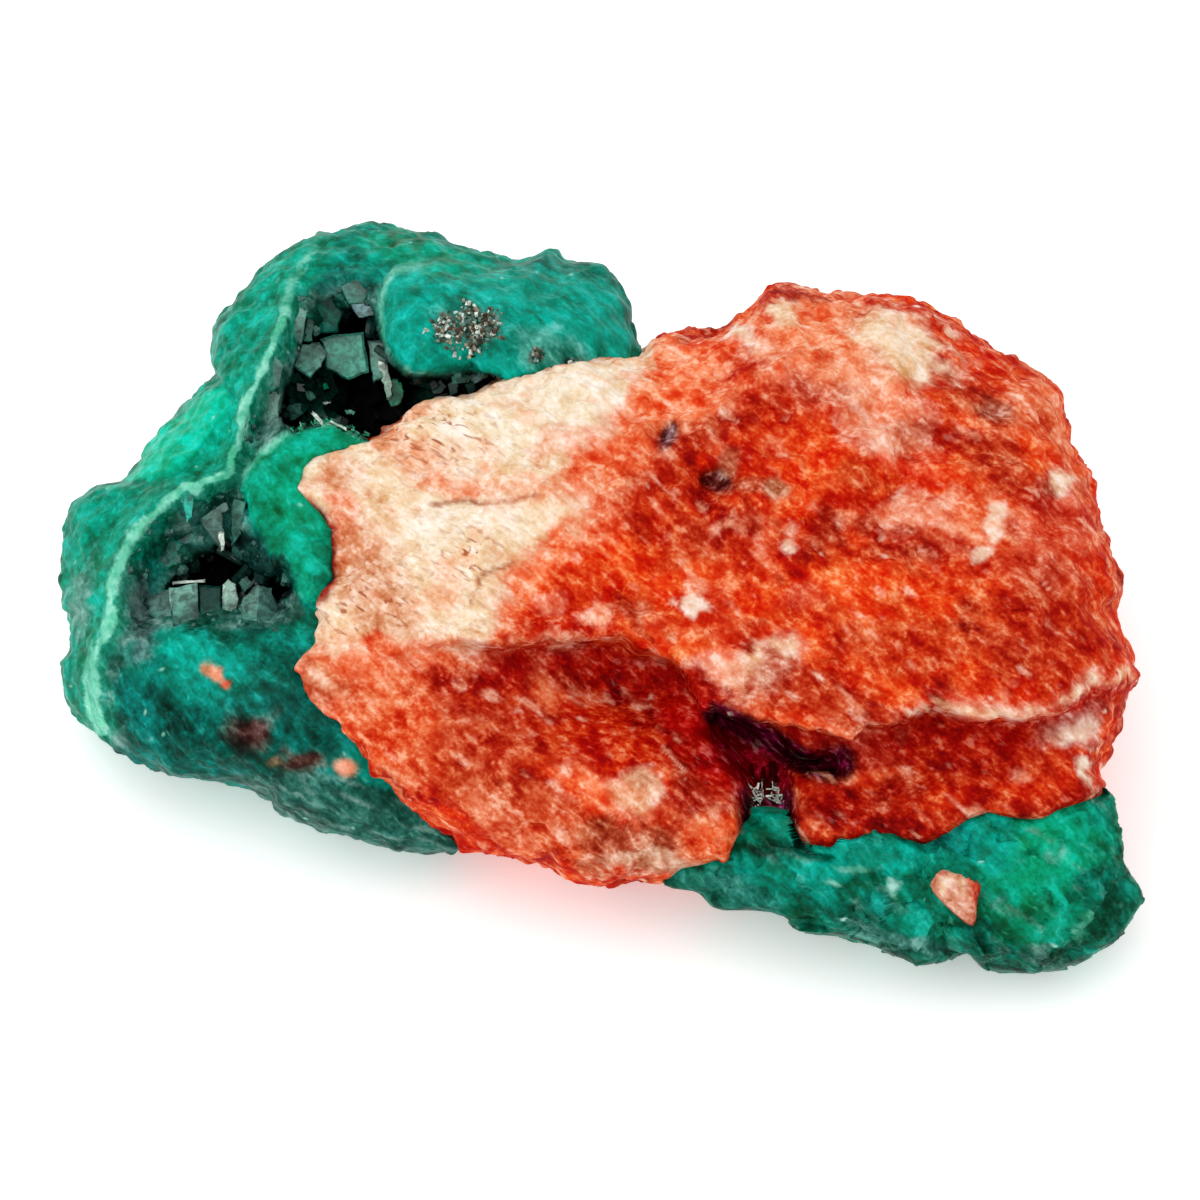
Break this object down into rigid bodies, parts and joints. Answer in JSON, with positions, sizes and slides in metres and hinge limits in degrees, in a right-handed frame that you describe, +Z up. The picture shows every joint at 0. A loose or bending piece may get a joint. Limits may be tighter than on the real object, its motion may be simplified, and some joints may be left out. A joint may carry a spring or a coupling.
{
  "type": "dioptase on matrix mineral specimen",
  "caption": "Rough rock of red and cream matrix with massive green dioptase on its left end and lower edge, and crystal-lined vugs; lies on a flat underside.",
  "frame": {"origin": "middle of the flat resting face under the matrix", "axes": "+Z up from the resting face, +X along the specimen's length from the dioptase end to the matrix end, -Y towards the display side"},
  "size_m": [0.0753, 0.0591, 0.0259],
  "materials": {
    "matrix": "rough, granular, red with cream patches",
    "matrix_chip": "rough, pale pink",
    "dioptase": "waxy to glassy, translucent green",
    "vug_crystals": "glassy crystal faces, dark green",
    "pocket_crystals": "glassy, nearly black, sparkling"
  },
  "bodies": {
    "root": {"matrix": "matrix", "matrix_chip": "matrix_chip", "dioptase_left": "dioptase", "dioptase_lower": "dioptase", "upper_vug_crystals": "vug_crystals", "lower_vug_crystals": "vug_crystals", "pocket_crystals": "pocket_crystals"}
  },
  "joints": []
}
